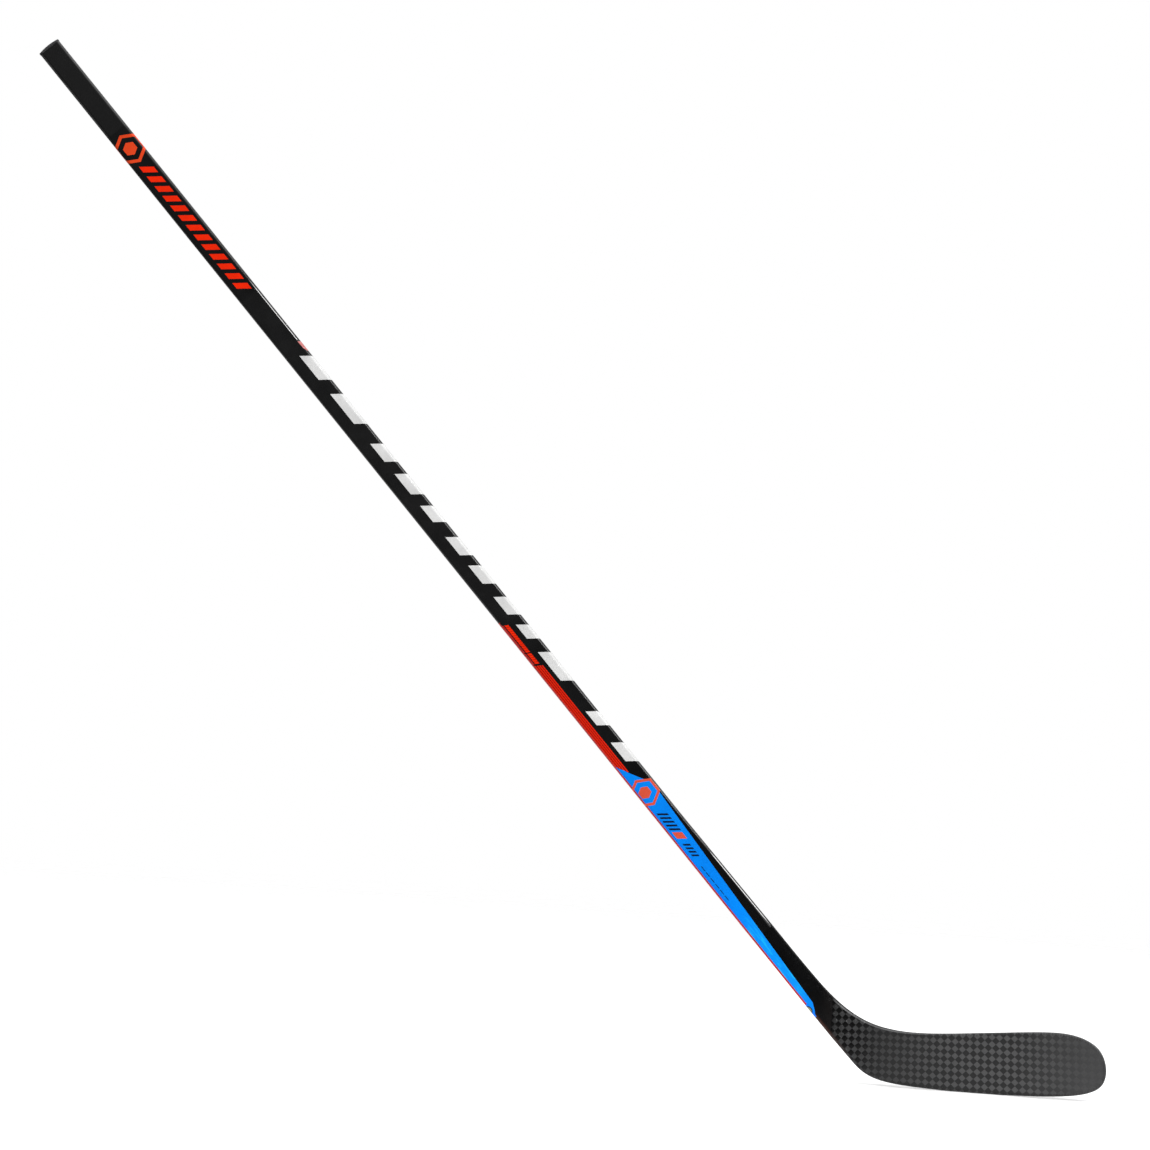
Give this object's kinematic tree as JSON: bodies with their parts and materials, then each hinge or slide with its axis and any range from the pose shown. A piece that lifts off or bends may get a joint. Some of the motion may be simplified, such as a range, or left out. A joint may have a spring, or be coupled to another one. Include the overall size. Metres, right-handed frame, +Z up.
{
  "type": "ice hockey stick",
  "caption": "Left-handed ice hockey stick with a hollow rectangular composite shaft, a pull-out butt cap and a curved woven blade, held at its playing angle.",
  "frame": {"origin": "middle of the blade's sole, where it meets the ice", "axes": "+Z up from the ice, +X along the sole from heel to toe, -Y out of the forehand face; the shaft leans back towards -X at 47 degrees above the ice"},
  "size_m": [1.3087, 0.0284, 1.1328],
  "materials": {
    "shaft_carbon": "black lacquer over carbon fibre, matte at the grip",
    "hosel_carbon": "black lacquer over wrapped carbon fibre",
    "blade_weave": "woven carbon fibre under a satin clear coat",
    "blade_braid": "braided carbon fibre under a satin clear coat",
    "cap_plastic": "moulded charcoal plastic",
    "tenon_carbon": "bare carbon laminate",
    "foam": "rigid closed-cell foam",
    "dense_core": "dense filled epoxy foam",
    "adhesive": "cured epoxy"
  },
  "bodies": {
    "stick": {"shaft_tube": "shaft_carbon", "shaft_foam_plug": "foam", "tenon_bond": "adhesive", "blade_tenon": "tenon_carbon", "tenon_core": "foam", "hosel_shell": "hosel_carbon", "hosel_core": "foam", "heel_block": "dense_core", "blade_face_forehand": "blade_weave", "blade_face_backhand": "blade_weave", "blade_edge_band": "blade_braid", "blade_core_lower": "foam", "blade_core_upper": "foam", "blade_rib": "tenon_carbon"},
    "butt_cap": {"butt_cap": "cap_plastic"}
  },
  "joints": [
    {"name": "butt_cap_pull", "type": "slide", "parent": "stick", "child": "butt_cap", "axis": [-0.682, 0, 0.7314], "range_m": [0, 0.05]}
  ]
}
